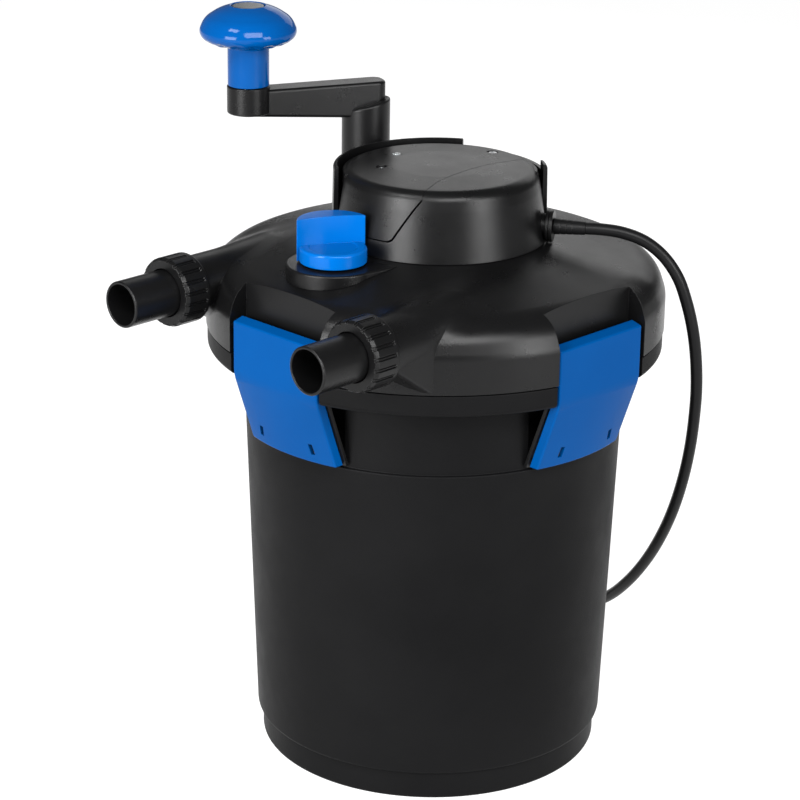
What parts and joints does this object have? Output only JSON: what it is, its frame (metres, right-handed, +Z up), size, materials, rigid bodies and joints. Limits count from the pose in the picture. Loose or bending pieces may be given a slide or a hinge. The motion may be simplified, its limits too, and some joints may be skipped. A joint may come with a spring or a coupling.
{
  "type": "pressurized pond filter",
  "caption": "Black tank filter with a clamped lid, UV lamp head, flow valve, hose tails, and a hand crank that turns the sponge cartridge; blue clamps and knobs; coiled lead.",
  "frame": {"origin": "centre of the foot's flat underside, on the tank's axis", "axes": "+Z up along the tank's axis, -Y towards the two hose tails, +X to the right of someone facing them from the tank's front side"},
  "size_m": [0.4304, 0.5067, 0.6218],
  "materials": {
    "black_plastic": "satin black moulded plastic with a fine even grain",
    "tank_plastic": "black moulded plastic, duller than the lid, fine spark-eroded grain",
    "blue_plastic": "smooth satin-gloss royal blue moulded plastic",
    "grey_plastic": "dark grey moulded plastic cap",
    "seal_rubber": "black nitrile rubber",
    "cord_rubber": "black rubber cable sheath, satin",
    "sponge_foam": "open-cell black filter foam",
    "steel": "stainless steel, fine turned finish",
    "white_plastic": "off-white moulded plastic",
    "clear_glass": "clear glass"
  },
  "bodies": {
    "root": {"tank": "tank_plastic", "lid": "black_plastic", "lid_seal": "seal_rubber", "clamp_pin_right": "steel", "clamp_pin_back": "steel", "clamp_pin_left": "steel", "clamp_pin_front": "steel", "hose_tail_inlet": "black_plastic", "hose_tail_outlet": "black_plastic", "port_seal_inlet": "seal_rubber", "port_seal_outlet": "seal_rubber", "head_base": "black_plastic", "head_cover": "black_plastic", "head_collar": "black_plastic", "cover_screw_front": "steel", "cover_screw_rear": "steel", "indicator_lens": "clear_glass", "ballast": "white_plastic", "lamp_holder": "white_plastic", "uv_lamp": "clear_glass", "quartz_sleeve": "clear_glass", "sleeve_seal": "seal_rubber", "sleeve_nut": "black_plastic", "valve_plate": "black_plastic", "valve_seal": "seal_rubber", "shaft_bush": "white_plastic", "shaft_seal": "seal_rubber", "sponge_scraper": "black_plastic", "cable_gland": "black_plastic", "strain_relief": "cord_rubber", "power_cord": "cord_rubber", "cord_coil": "cord_rubber", "plug_lead": "cord_rubber", "mains_plug": "black_plastic"},
    "clamp_right": {"clamp_cover_right": "blue_plastic", "clamp_lever_right": "black_plastic"},
    "clamp_back": {"clamp_cover_back": "blue_plastic", "clamp_lever_back": "black_plastic"},
    "clamp_left": {"clamp_cover_left": "blue_plastic", "clamp_lever_left": "black_plastic"},
    "clamp_front": {"clamp_cover_front": "blue_plastic", "clamp_lever_front": "black_plastic"},
    "cartridge": {"cartridge_base": "black_plastic", "sponge_lower": "sponge_foam", "sponge_middle": "sponge_foam", "sponge_upper": "sponge_foam", "strainer_tube": "black_plastic", "cartridge_top": "black_plastic", "ring_gear": "white_plastic"},
    "crank": {"crank_arm": "black_plastic", "crank_shaft": "steel", "drive_pinion": "white_plastic", "knob_pin": "steel"},
    "crank_grip": {"crank_knob": "blue_plastic", "knob_cap": "grey_plastic"},
    "flow_valve": {"flow_knob": "blue_plastic", "valve_rotor": "black_plastic"},
    "nut_inlet": {"union_nut_inlet": "black_plastic"},
    "nut_outlet": {"union_nut_outlet": "black_plastic"}
  },
  "joints": [
    {"name": "clamp_right_hinge", "type": "hinge", "parent": "root", "child": "clamp_right", "pos_m": [0.175, 0, 0.394], "axis": [0, -1, 0], "range_deg": [0, 80]},
    {"name": "clamp_back_hinge", "type": "hinge", "parent": "root", "child": "clamp_back", "pos_m": [0, 0.175, 0.394], "axis": [1, 0, 0], "range_deg": [0, 80]},
    {"name": "clamp_left_hinge", "type": "hinge", "parent": "root", "child": "clamp_left", "pos_m": [-0.175, 0, 0.394], "axis": [0, 1, 0], "range_deg": [0, 80]},
    {"name": "clamp_front_hinge", "type": "hinge", "parent": "root", "child": "clamp_front", "pos_m": [0, -0.175, 0.394], "axis": [-1, 0, 0], "range_deg": [0, 80]},
    {"name": "cartridge_turn", "type": "hinge", "parent": "root", "child": "cartridge", "pos_m": [0, 0, 0.3], "axis": [0, 0, 1], "continuous": true},
    {"name": "crank_turn", "type": "hinge", "parent": "root", "child": "crank", "pos_m": [-0.1108, 0.02681, 0.5], "axis": [0, 0, 1], "continuous": true},
    {"name": "knob_spin", "type": "hinge", "parent": "crank", "child": "crank_grip", "pos_m": [-0.15393, -0.06783, 0.59], "axis": [0, 0, 1], "continuous": true},
    {"name": "flow_turn", "type": "hinge", "parent": "root", "child": "flow_valve", "pos_m": [0, -0.118, 0.45], "axis": [0, 0, 1], "range_deg": [-45, 45]},
    {"name": "nut_inlet_turn", "type": "hinge", "parent": "root", "child": "nut_inlet", "pos_m": [-0.107, -0.19, 0.414], "axis": [0, 1, 0], "continuous": true},
    {"name": "nut_outlet_turn", "type": "hinge", "parent": "root", "child": "nut_outlet", "pos_m": [0.107, -0.19, 0.414], "axis": [0, 1, 0], "continuous": true}
  ],
  "couplings": [
    {"joint": "crank_turn", "follows": "cartridge_turn", "ratio": -6.6}
  ]
}
